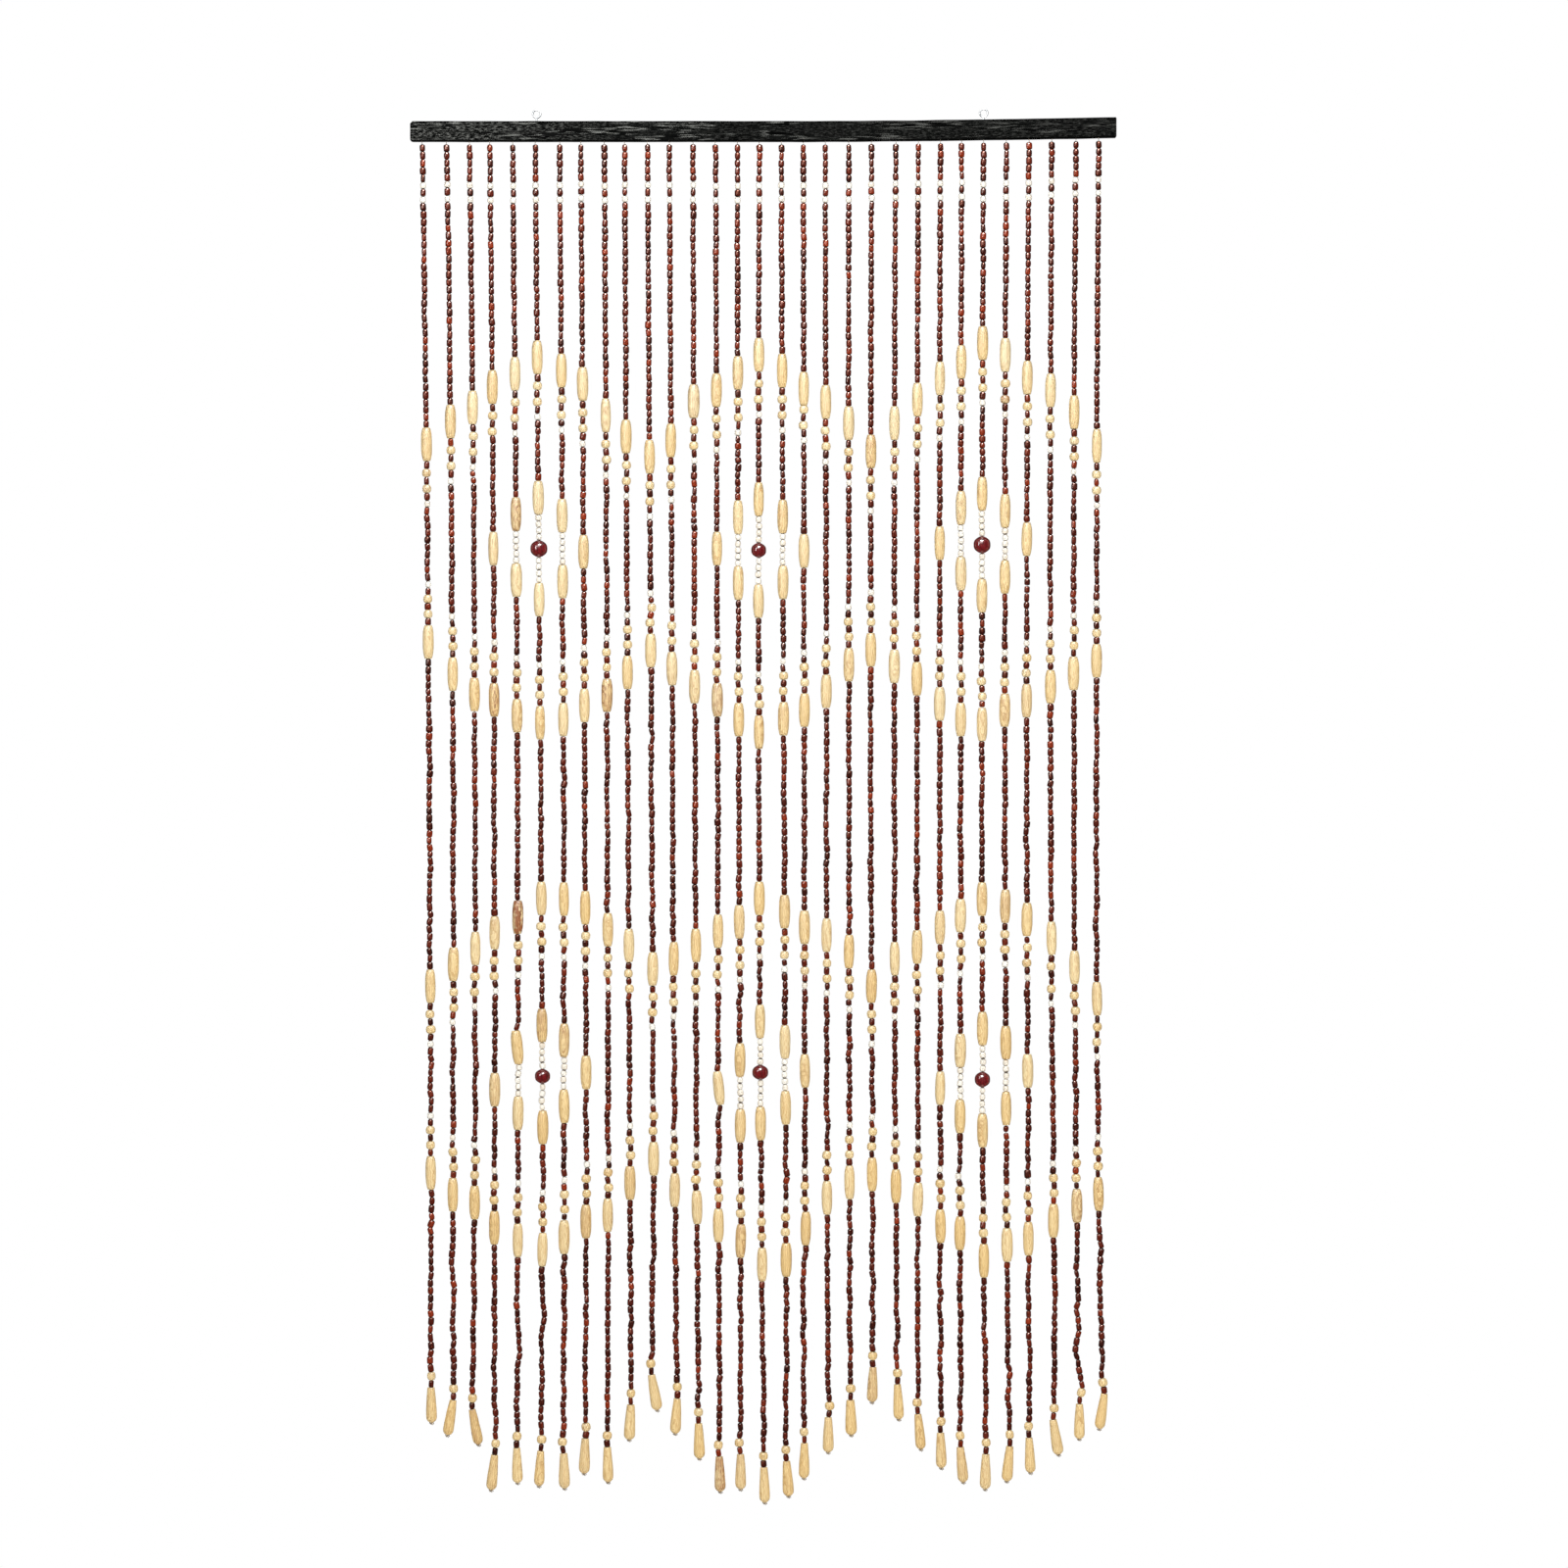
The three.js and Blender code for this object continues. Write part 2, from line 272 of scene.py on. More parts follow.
def fillTubes(beads, rng):
    # tube beads in every stretch that is still bare
    beads.sort(key=lambda bead: bead[1])
    filled = [beads[0]]
    for bead in beads[1:]:
        top, bottom = filled[-1][2], bead[1]
        count = round((bottom - top) / stringing["tubePitch"])
        if count:
            shares = [1 + rng.gauss(0, beadSizes["tube"]["varyLength"]) for i in range(count)]
            step = (bottom - top) / sum(shares)
            for share in shares:
                filled.append(("tube", top, top + share * step, None))
                top += share * step
        filled.append(bead)
    return filled


def layString(number, string):
    # every bead of one string as (kind, upper level, lower level, where it is), top to bottom
    rng = random.Random(stringing["layoutSeed"] + number)
    away = min(abs(number - middle) for middle in diamondMiddles)
    beads = []
    top = (barTop - lift(string["hole"] * mm)) / mm + stringing["threadShows"]
    row = stringing["topRow"]
    lengths = [
        beadSizes[kind]["length"] * (1 + rng.gauss(0, beadSizes[kind]["varyLength"] / 2)) for kind in row
    ]
    share = (topWhites[number] + beadSizes["white"]["length"] / 2 - top) / sum(lengths)
    for kind, length in zip(row, lengths):
        beads.append((kind, top, top + length * share, None))
        top += length * share
    for part, side in (("first", 1), ("second", -1), ("third", 1), ("fourth", -1)):
        placeTail(beads, number, part, string[part], side)
    for part in ("heartA", "heartB"):
        placeHeart(beads, number, part, string[part], away)
    placeDrop(beads, number, string["drop"])
    return fillTubes(beads, rng)


def jointsOf(number, string, beads, rng):
    # the points where one bead meets the next, in metres, each a little off the string's line
    levels = [beads[0][1]] + [bead[2] for bead in beads]
    foot = levels[-1]
    joints = []
    for i, level in enumerate(levels):
        near = beads[max(i - 1, 0)], beads[min(i, len(beads) - 1)]
        spread = stringing["wobbleTop"] + (stringing["wobbleFoot"] - stringing["wobbleTop"]) * level / foot
        if any(bead[0] in longKinds for bead in near):
            spread *= stringing["stiffShare"]
        across = rng.gauss(0, spread)
        deep = rng.gauss(0, spread)
        x = string["hole"] + strayAt(string, level) + bulgeAt(number, level) + across
        joints.append(Vector((x * mm, stringPlane + deep * mm, -level * mm)))
    return joints


# What the bead tree reads at each bead, gathered by kind
beadLists = {}
threadLines = []


def addBead(group, kind, upper, lower, radius, rng, tint, mark):
    size = beadSizes[kind]
    middle = (upper + lower) / 2
    axis = (upper - lower).normalized()
    gap = size["space"]
    if rng.random() < stringing["looseShare"] and kind == "tube":
        gap += stringing["looseGap"] * rng.random()
    share = max(stringing["narrowest"], 1 + rng.gauss(0, size["vary"]))
    wide = radius * min(stringing["widest"], share)
    flat = 1 + rng.gauss(0, size["vary"] * stringing["flatShare"])
    length = (upper - lower).length - gap * mm
    group["place"].append(middle)
    group["beadAxis"].append(axis)
    group["beadSize"].append(Vector((wide * mm * flat, wide * mm / flat, length)))
    group["beadSpin"].append(rng.uniform(0, math.tau))
    group["beadTint"].append(tint)
    group["beadSeed"].append(rng.random())
    group["beadMark"].append(mark)
    group["beadForm"].append(rng.choices(range(3), size["forms"])[0])


def groupNamed(name):
    keys = ("place", "beadAxis", "beadSize", "beadSpin", "beadTint", "beadSeed", "beadMark", "beadForm")
    return beadLists.setdefault(name, {key: [] for key in keys})


thirds = ("Left", "Middle", "Right")
for number, string in enumerate(strings):
    rng = random.Random(stringing["beadSeed"] + number)
    beads = layString(number, string)
    joints = jointsOf(number, string, beads, rng)
    third = thirds[number * len(thirds) // len(strings)]
    for i, (kind, top, bottom, where) in enumerate(beads):
        # pale wood takes a painted shade that deepens below the batten
        start, perMetre = paintedFalloff.get(kind, (0, 0))
        tint = rng.uniform(*beadSizes[kind]["tint"]) + start + perMetre * top * mm
        mark = marked.get(where, max(0.0, rng.gauss(*stringing["usualMark"])))
        radius = largeBalls[where][0] if kind == "bigBall" else beadSizes[kind]["radius"]
        name = kind + third if kind == "tube" else kind
        addBead(groupNamed(name), kind, joints[i], joints[i + 1], radius, rng, tint, mark)
    threadLines.append(joints)
print("beads laid out:", {name: len(group["place"]) for name, group in beadLists.items()})


# Node helpers, for geometry and shader trees alike
def feed(tree, socket, value):
    if isinstance(value, bpy.types.NodeSocket):
        tree.links.new(value, socket)
    else:
        socket.default_value = value


def inUse(sockets, key=None):
    # the socket at a place or of a name, or the first one, passing over those for other types of data
    if isinstance(key, int):
        return sockets[key]
    return next(socket for socket in sockets if socket.enabled and key in (None, socket.name))


def addNode(tree, kind, inputs=None, **settings):
    node = tree.nodes.new(kind)
    for name, value in settings.items():
        setattr(node, name, value)
    for key, value in (inputs or {}).items():
        feed(tree, inUse(node.inputs, key), value)
    return node


def firstOut(tree, kind, inputs=None, **settings):
    return inUse(addNode(tree, kind, inputs, **settings).outputs)


def calc(tree, operation, *values):
    return firstOut(tree, "ShaderNodeMath", dict(enumerate(values)), operation=operation)


def vectorCalc(tree, operation, *values):
    return firstOut(tree, "ShaderNodeVectorMath", dict(enumerate(values)), operation=operation)


def scaled(tree, vector, factor):
    return firstOut(tree, "ShaderNodeVectorMath", {0: vector, "Scale": factor}, operation="SCALE")


def noiseOf(tree, vector, scale, detail, **more):
    inputs = {"Vector": vector, "Scale": scale, "Detail": detail, **more}
    return addNode(tree, "ShaderNodeTexNoise", inputs).outputs["Fac"]


def startTree(name, kind, inputs, outputs):
    tree = bpy.data.node_groups.new(name, kind)
    for direction, sockets in (("INPUT", inputs), ("OUTPUT", outputs)):
        for label, holds, value in sockets:
            socket = tree.interface.new_socket(label, in_out=direction, socket_type="NodeSocket" + holds)
            if value is not None:
                socket.default_value = value
    return tree, addNode(tree, "NodeGroupInput").outputs, addNode(tree, "NodeGroupOutput").inputs


formInputs = (
    ("Sides", "Int", 8),
    ("Rings", "Int", 5),
    ("Ring Gather", "Float", 1.8),        # draws the rings towards the bead's ends
    ("Widest At", "Float", 0.0),          # -1 at the foot, 1 at the top
    ("Top Width", "Float", 0.8),          # share of the widest
    ("Foot Width", "Float", 0.8),
    ("Top Curve", "Float", 4.0),          # high keeps the bead full until near its end
    ("Foot Curve", "Float", 4.0),
)


# Geometry Nodes: one bead as it comes off the lathe, 1 long and 1 in radius
def formTree():
    outputs = (("Form", "Geometry", None),)
    tree, given, result = startTree("turnedForm", "GeometryNodeTree", formInputs, outputs)
    sizes = {"Vertices": given["Sides"], "Side Segments": given["Rings"], "Radius": 1.0, "Depth": 1.0}
    rod = addNode(tree, "GeometryNodeMeshCylinder", sizes, fill_type="NGON").outputs
    place = firstOut(tree, "GeometryNodeInputPosition")
    split = addNode(tree, "ShaderNodeSeparateXYZ", {"Vector": place}).outputs
    # heights run from -1 at the foot to 1 at the top, with the rings gathered towards both
    end = calc(tree, "MULTIPLY", calc(tree, "ABSOLUTE", split["Z"]), 2.0)
    left = calc(tree, "MAXIMUM", calc(tree, "SUBTRACT", 1.0, end), 0.0)
    gathered = calc(tree, "SUBTRACT", 1.0, calc(tree, "POWER", left, given["Ring Gather"]))
    height = calc(tree, "MULTIPLY", gathered, calc(tree, "SIGN", split["Z"]))
    above = calc(tree, "SUBTRACT", height, given["Widest At"])
    isTop = calc(tree, "GREATER_THAN", above, 0.0)

    def either(top, foot):
        return firstOut(tree, "ShaderNodeMix", {"Factor": isTop, "A": foot, "B": top}, data_type="FLOAT")

    # from the widest place each end is drawn in, slowly at first
    upper = calc(tree, "SUBTRACT", 1.0, given["Widest At"])
    lower = calc(tree, "ADD", 1.0, given["Widest At"])
    share = calc(tree, "DIVIDE", calc(tree, "ABSOLUTE", above), either(upper, lower))
    curve = either(given["Top Curve"], given["Foot Curve"])
    eased = calc(tree, "POWER", calc(tree, "MINIMUM", share, 1.0), curve)
    narrower = calc(tree, "SUBTRACT", 1.0, either(given["Top Width"], given["Foot Width"]))
    factor = calc(tree, "SUBTRACT", 1.0, calc(tree, "MULTIPLY", narrower, eased))
    shaped = firstOut(
        tree,
        "ShaderNodeCombineXYZ",
        {
            "X": calc(tree, "MULTIPLY", split["X"], factor),
            "Y": calc(tree, "MULTIPLY", split["Y"], factor),
            "Z": calc(tree, "MULTIPLY", height, 0.5),
        },
    )
    form = firstOut(tree, "GeometryNodeSetPosition", {"Geometry": rod["Mesh"], "Position": shaped})
    ends = firstOut(tree, "FunctionNodeBooleanMath", {0: rod["Side"]}, operation="NOT")
    for faces, smooth in ((rod["Side"], True), (ends, False)):
        shading = {"Geometry": form, "Selection": faces, "Shade Smooth": smooth}
        form = firstOut(tree, "GeometryNodeSetShadeSmooth", shading)
    stored = {"Geometry": form, "Name": "beadPlace", "Value": place}
    kept = {"data_type": "FLOAT_VECTOR", "domain": "POINT"}
    feed(tree, result["Form"], firstOut(tree, "GeometryNodeStoreNamedAttribute", stored, **kept))
    return tree


# Geometry Nodes: a turned bead on every point, of one of three forms
def beadTree(form):
    tree, given, result = startTree(
        "turnedBeads",
        "GeometryNodeTree",
        (
            ("Points", "Geometry", None),
            *formInputs,
            ("Rounder", "Float", 0.0),               # how much narrower the second form's ends are
            ("Rounder Curve", "Float", 0.45),        # its curves, as a share of the first form's
            ("Taper", "Float", 0.0),                 # how much narrower the third form's top is
            ("Unevenness", "Float", 0.0001),
            ("Unevenness Size", "Float", 0.004),
            ("Material", "Material", None),
        ),
        (("Beads", "Geometry", None),),
    )

    def variant(changes):
        inputs = {row[0]: changes.get(row[0], given[row[0]]) for row in formInputs}
        shape = firstOut(tree, "GeometryNodeGroup", inputs, node_tree=form)
        return firstOut(tree, "GeometryNodeGeometryToInstance", {0: shape})

    rounder = {}
    for end in ("Top", "Foot"):
        width, curve = end + " Width", end + " Curve"
        rounder[width] = calc(tree, "SUBTRACT", given[width], given["Rounder"])
        rounder[curve] = calc(tree, "MULTIPLY", given[curve], given["Rounder Curve"])
    tapered = {"Top Width": calc(tree, "SUBTRACT", given["Top Width"], given["Taper"])}
    joined = addNode(tree, "GeometryNodeJoinGeometry")
    for changes in ({}, rounder, tapered):
        tree.links.new(variant(changes), joined.inputs[0])

    def attribute(name, kind):
        return firstOut(tree, "GeometryNodeInputNamedAttribute", {"Name": name}, data_type=kind)

    turn = {"Axis": (0, 0, 1), "Angle": attribute("beadSpin", "FLOAT")}
    spun = firstOut(tree, "FunctionNodeAxisAngleToRotation", turn)
    aim = {"Rotation": spun, "Vector": attribute("beadAxis", "FLOAT_VECTOR")}
    strung = firstOut(
        tree,
        "GeometryNodeInstanceOnPoints",
        {
            "Points": given["Points"],
            "Instance": joined.outputs[0],
            "Pick Instance": True,
            "Instance Index": attribute("beadForm", "INT"),
            "Rotation": firstOut(tree, "FunctionNodeAlignRotationToVector", aim, axis="Z"),
            "Scale": attribute("beadSize", "FLOAT_VECTOR"),
        },
    )
    solid = firstOut(tree, "GeometryNodeRealizeInstances", {"Geometry": strung})
    fineness = calc(tree, "DIVIDE", 1.0, given["Unevenness Size"])
    rough = addNode(tree, "ShaderNodeTexNoise", {"Scale": fineness, "Detail": 1.0}).outputs["Color"]
    centred = vectorCalc(tree, "SUBTRACT", rough, (0.5, 0.5, 0.5))
    moved = {"Geometry": solid, "Offset": scaled(tree, centred, given["Unevenness"])}
    cut = firstOut(tree, "GeometryNodeSetPosition", moved)
    painted = firstOut(tree, "GeometryNodeSetMaterial", {"Geometry": cut, "Material": given["Material"]})
    feed(tree, result["Beads"], painted)
    return tree


# Geometry Nodes: a round wire along every line of edges
def wireTree():
    tree, given, result = startTree(
        "wireAlongLine",
        "GeometryNodeTree",
        (
            ("Lines", "Geometry", None),
            ("Radius", "Float", 0.001),
            ("Sides", "Int", 6),
            ("Material", "Material", None),
        ),
        (("Wire", "Geometry", None),),
    )
    curve = firstOut(tree, "GeometryNodeMeshToCurve", {"Mesh": given["Lines"]})
    section = {"Resolution": given["Sides"], "Radius": given["Radius"]}
    ring = firstOut(tree, "GeometryNodeCurvePrimitiveCircle", section, mode="RADIUS")
    swept = {"Curve": curve, "Profile Curve": ring, "Fill Caps": True}
    tube = firstOut(tree, "GeometryNodeCurveToMesh", swept)
    smooth = firstOut(tree, "GeometryNodeSetShadeSmooth", {"Geometry": tube, "Shade Smooth": True})
    solid = firstOut(tree, "GeometryNodeRealizeInstances", {"Geometry": smooth})
    painted = firstOut(tree, "GeometryNodeSetMaterial", {"Geometry": solid, "Material": given["Material"]})
    feed(tree, result["Wire"], painted)
    return tree


def plainMesh(piece, modifier):
    # keeps what the modifier makes as the piece's plain mesh
    depsgraph = bpy.context.evaluated_depsgraph_get()
    mesh = bpy.data.meshes.new_from_object(piece.evaluated_get(depsgraph), depsgraph=depsgraph)
    piece.modifiers.remove(modifier)
    piece.data = mesh
    mesh.name = piece.name


def grow(piece, tree, values):
    # runs a geometry tree on the piece
    modifier = piece.modifiers.new(tree.name, "NODES")
    modifier.node_group = tree
    for item in tree.interface.items_tree:
        if item.item_type == "SOCKET" and item.in_out == "INPUT" and item.name in values:
            modifier[item.identifier] = values[item.name]
    plainMesh(piece, modifier)


def newPiece(name, mesh):
    piece = bpy.data.objects.new(name, mesh)
    scene.collection.objects.link(piece)
    return piece


def settle(piece, nodes):
    # every piece rides on the curtain's one body
    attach(piece, "root")
    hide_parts(*nodes)
    print(piece.name, "made,", len(piece.data.polygons), "faces")


def linear(red, green, blue):
    # a colour given as it shows on a screen, 0 to 255
    return (*(((c / 255 + 0.055) / 1.055) ** 2.4 for c in (red, green, blue)), 1.0)


def startMaterial(name):
    material = bpy.data.materials.new(name)
    material.use_nodes = True
    tree = material.node_tree
    return material, tree, tree.nodes["Principled BSDF"]


def attributeOf(tree, name, output="Fac"):
    return addNode(tree, "ShaderNodeAttribute", attribute_name=name).outputs[output]


def ramp(tree, factor, stops):
    node = addNode(tree, "ShaderNodeValToRGB", {"Fac": factor})
    elements = node.color_ramp.elements
    while len(elements) < len(stops):
        elements.new(0.5)
    for element, (at, colour) in zip(elements, stops):
        element.position = at
        element.color = colour
    return node.outputs["Color"]


def stretch(tree, value, low, high, toLow=0.0, toHigh=1.0):
    limits = {"From Min": low, "From Max": high, "To Min": toLow, "To Max": toHigh}
    return firstOut(tree, "ShaderNodeMapRange", {"Value": value, **limits})


def blendColour(tree, factor, first, second):
    return firstOut(tree, "ShaderNodeMix", {"Factor": factor, "A": first, "B": second}, data_type="RGBA")


def coverWith(tree, base, layers):
    # each layer is a mask from 0 to 1 and the colour that it lays on
    for mask, colour in layers:
        base = blendColour(tree, mask, base, colour)
    return base


noiseSpan = (0.3, 0.7)        # where nearly all values of a noise lie


def finishShader(tree, shader, look, base, rough, height=None):
    # colour, roughness by a noise, the look's constants and, from a height, its relief
    feed(tree, shader.inputs["Base Color"], base)
    feed(tree, shader.inputs["Roughness"], stretch(tree, rough, *noiseSpan, *look["roughness"]))
    for name, value in look["constants"].items():
        shader.inputs[name].default_value = value
    if height is not None:
        strength, distance = look["relief"]
        bump = {"Height": height, "Strength": strength, "Distance": distance}
        feed(tree, shader.inputs["Normal"], firstOut(tree, "ShaderNodeBump", bump))


grainValues = {
    "turns": 7,                       # how often the pith goes round the bead as the seed goes from 0 to 1
    "depths": 13.7,                   # and how often it goes from its nearest to its farthest
    "pithShare": (0.6, 3.0),          # nearest and farthest, as shares of Pith Away
    "shift": (3.7, 1.9, 1.0),         # the noises' shift for a seed of 1, in metres
    "cloud": (120.0, 2.0),            # scale and detail
    "bend": 0.004,                    # how far the cloud bends the rings
    "lengthwise": (1, 1, 0.06),       # rings change little along the bead
    "lateWood": 3.0,                  # high makes the dark lines narrow
    "fibre": (1.0, 3.0),
    "fibreRoughness": 0.6,
}


# Shader group: growth rings and fibre of turned wood, in the bead's own place
def grainGroup():
    tree, given, result = startTree(
        "turnedGrain",
        "ShaderNodeTree",
        (
            ("Place", "Vector", None),
            ("Seed", "Float", 0.0),
            ("Ring Gap", "Float", 0.0017),
            ("Pith Away", "Float", 0.011),
            ("Fibre Width", "Float", 0.0005),
            ("Fibre Length", "Float", 0.009),
        ),
        (("Rings", "Float", None), ("Fibre", "Float", None), ("Cloud", "Float", None)),
    )
    turn = calc(tree, "MULTIPLY", given["Seed"], math.tau * grainValues["turns"])
    # cut near the pith the rings show as arches, far from it as straight lines
    depth = calc(tree, "FRACT", calc(tree, "MULTIPLY", given["Seed"], grainValues["depths"]))
    share = stretch(tree, depth, 0.0, 1.0, *grainValues["pithShare"])
    away = calc(tree, "MULTIPLY", given["Pith Away"], share)
    sides = {axis: calc(tree, wave, turn) for axis, wave in (("X", "COSINE"), ("Y", "SINE"))}
    pith = scaled(tree, firstOut(tree, "ShaderNodeCombineXYZ", sides), away)
    shifted = vectorCalc(tree, "ADD", given["Place"], scaled(tree, grainValues["shift"], given["Seed"]))
    cloud = noiseOf(tree, shifted, *grainValues["cloud"])
    bend = calc(tree, "MULTIPLY", calc(tree, "SUBTRACT", cloud, 0.5), grainValues["bend"])
    fromPith = vectorCalc(tree, "ADD", given["Place"], pith)
    flat = vectorCalc(tree, "MULTIPLY", fromPith, grainValues["lengthwise"])
    reach = calc(tree, "ADD", vectorCalc(tree, "LENGTH", flat), bend)
    phase = calc(tree, "FRACT", calc(tree, "DIVIDE", reach, given["Ring Gap"]))
    feed(tree, result["Rings"], calc(tree, "POWER", phase, grainValues["lateWood"]))
    width, length = given["Fibre Width"], given["Fibre Length"]
    fibre = firstOut(tree, "ShaderNodeCombineXYZ", {"X": width, "Y": width, "Z": length})
    drawn = vectorCalc(tree, "DIVIDE", shifted, fibre)
    lines = noiseOf(tree, drawn, *grainValues["fibre"], Roughness=grainValues["fibreRoughness"])
    feed(tree, result["Fibre"], lines)
    feed(tree, result["Cloud"], cloud)
    return tree


grain = grainGroup()


def beadGrain(tree, values):
    # the masks of the grain group, in the bead's own place in metres
    share, size = attributeOf(tree, "beadPlace", "Vector"), attributeOf(tree, "beadSize", "Vector")
    own = {"Place": vectorCalc(tree, "MULTIPLY", share, size), "Seed": attributeOf(tree, "beadSeed")}
    return addNode(tree, "ShaderNodeGroup", {**own, **values}, node_tree=grain).outputs


def endShade(tree, limits):
    # mask of the painted shade where a bead meets the next: 0 along the bead and more at its ends, which are
    # at 0.5
    place = {"Vector": attributeOf(tree, "beadPlace", "Vector")}
    height = addNode(tree, "ShaderNodeSeparateXYZ", place).outputs["Z"]
    return stretch(tree, calc(tree, "ABSOLUTE", height), *limits)


# In the looks, a name that ends in Mask holds the limits for stretch: where the mask starts and where it
# is full, and where given its value at each. roughBy is the grain mask that varies the roughness, and
# relief is the bump's strength and its depth in metres.
redLacquer = {
    "grain": {"Ring Gap": 0.0024, "Fibre Width": 0.0007, "Fibre Length": 0.007},
    "roughBy": "Cloud",
    "colours": (
        (0.0, linear(48, 11, 7)),
        (0.18, linear(66, 15, 8)),
        (0.42, linear(83, 20, 9)),
        (0.64, linear(95, 24, 10)),
        (0.78, linear(94, 29, 19)),
        (0.88, linear(115, 34, 12)),
        (1.0, linear(148, 46, 14)),
    ),
    # dark colour of the grain streaks, also laid as painted shade at the bead's ends
    "darkFibreAndEndShade": linear(24, 4, 4),
    "darkFibreMask": (0.50, 0.68, 0.0, 0.75),
    "pale": linear(166, 74, 44),
    "paleMask": (0.44, 0.30, 0.0, 0.5),
    # painted shade at the bead's ends, where it meets the next bead
    "endShadeMask": (0.37, 0.47, 0.0, 0.9),
    "roughness": (0.25, 0.42),
    "coat": (0.0, 0.6),        # from bead to bead
    "constants": {
        "Specular IOR Level": 0.45, "Specular Tint": (1.0, 0.50, 0.36, 1.0), "Coat Roughness": 0.13,
    },
    "relief": (0.35, 0.0004),
}


def redColour(tree, look, wood):
    layers = (
        (stretch(tree, wood["Fibre"], *look["darkFibreMask"]), look["darkFibreAndEndShade"]),
        (stretch(tree, wood["Fibre"], *look["paleMask"]), look["pale"]),
        # painted shade at the ends, where one bead meets the next
        (endShade(tree, look["endShadeMask"]), look["darkFibreAndEndShade"]),
    )
    return coverWith(tree, ramp(tree, attributeOf(tree, "beadTint"), look["colours"]), layers)


paleWood = {
    "grain": {"Ring Gap": 0.0022, "Pith Away": 0.010, "Fibre Width": 0.0009},
    "roughBy": "Fibre",
    "light": linear(247, 232, 188),
    "warm": linear(240, 208, 142),
    "warmShare": 0.75,
    "ring": linear(198, 148, 78),
    "ringShare": (0.35, 0.75),        # in light and in warm wood
    "fibreMask": (0.50, 0.70, 0.0, 0.7),
    "knot": linear(172, 102, 50),
    "knotMask": (0.40, 0.62, 0.0, 0.7),
    "darkRing": linear(128, 70, 32),
    "darkShare": 1.1,
    "darkLimit": 0.85,
    "roughness": (0.42, 0.58),
    "constants": {"Coat Weight": 0.1, "Coat Roughness": 0.3},
    "relief": (0.25, 0.0003),
}


def paleColour(tree, look, wood):
    tint, mark = attributeOf(tree, "beadTint"), attributeOf(tree, "beadMark")
    base = blendColour(tree, calc(tree, "MULTIPLY", tint, look["warmShare"]), look["light"], look["warm"])
    rings = calc(tree, "MULTIPLY", wood["Rings"], stretch(tree, tint, 0.0, 1.0, *look["ringShare"]))
    brown = calc(tree, "MULTIPLY", stretch(tree, wood["Cloud"], *look["knotMask"]), mark)
    dark = calc(tree, "MULTIPLY", calc(tree, "MULTIPLY", wood["Rings"], mark), look["darkShare"])
    layers = (
        (rings, look["ring"]),
        (stretch(tree, wood["Fibre"], *look["fibreMask"]), look["ring"]),
        (brown, look["knot"]),
        (calc(tree, "MINIMUM", dark, look["darkLimit"]), look["darkRing"]),
    )
    return coverWith(tree, base, layers)


whitePaint = {
    "grain": {"Fibre Width": 0.0009, "Fibre Length": 0.004},
    "roughBy": "Fibre",
    "light": linear(249, 245, 234),
    "shade": linear(238, 227, 208),
    # painted shade in the gaps between the beads, patchy from bead to bead
    "paintedGapShade": linear(92, 72, 50),
    "paintedGapShadeMask": (0.35, 0.46),
    "patchMask": (0.4, 0.6, 0.75, 1.0),
    "roughness": (0.38, 0.55),
    "constants": {},
    "relief": (0.2, 0.0002),
}


def whiteColour(tree, look, wood):
    patchy = stretch(tree, wood["Cloud"], *look["patchMask"])
    # painted shade at the bead's ends, where it meets the next
    gapShading = calc(tree, "MULTIPLY", endShade(tree, look["paintedGapShadeMask"]), patchy)
    layers = ((attributeOf(tree, "beadTint"), look["shade"]), (gapShading, look["paintedGapShade"]))
    return coverWith(tree, look["light"], layers)


maroonGloss = {
    "grain": {"Ring Gap": 0.0032, "Fibre Width": 0.0009, "Fibre Length": 0.012},
    "roughBy": "Cloud",
    "deep": linear(68, 8, 12),
    "light": linear(122, 18, 24),
    "deepMask": (0.45, 0.75, 0.0, 0.7),
    "roughness": (0.25, 0.4),
    "constants": {"Specular IOR Level": 0.2, "Coat Weight": 1.0, "Coat Roughness": 0.05},
    "relief": (0.08, 0.0003),
}


def maroonColour(tree, look, wood):
    fibre = stretch(tree, wood["Fibre"], *look["deepMask"])
    return coverWith(tree, look["light"], ((wood["Rings"], look["deep"]), (fibre, look["deep"])))


def beadMaterial(name, look, colouring):
    material, tree, shader = startMaterial(name)
    wood = beadGrain(tree, look["grain"])
    finishShader(tree, shader, look, colouring(tree, look, wood), wood[look["roughBy"]], wood["Fibre"])
    if "coat" in look:
        gloss = stretch(tree, attributeOf(tree, "beadSeed"), 0.0, 1.0, *look["coat"])
        feed(tree, shader.inputs["Coat Weight"], gloss)
    return material


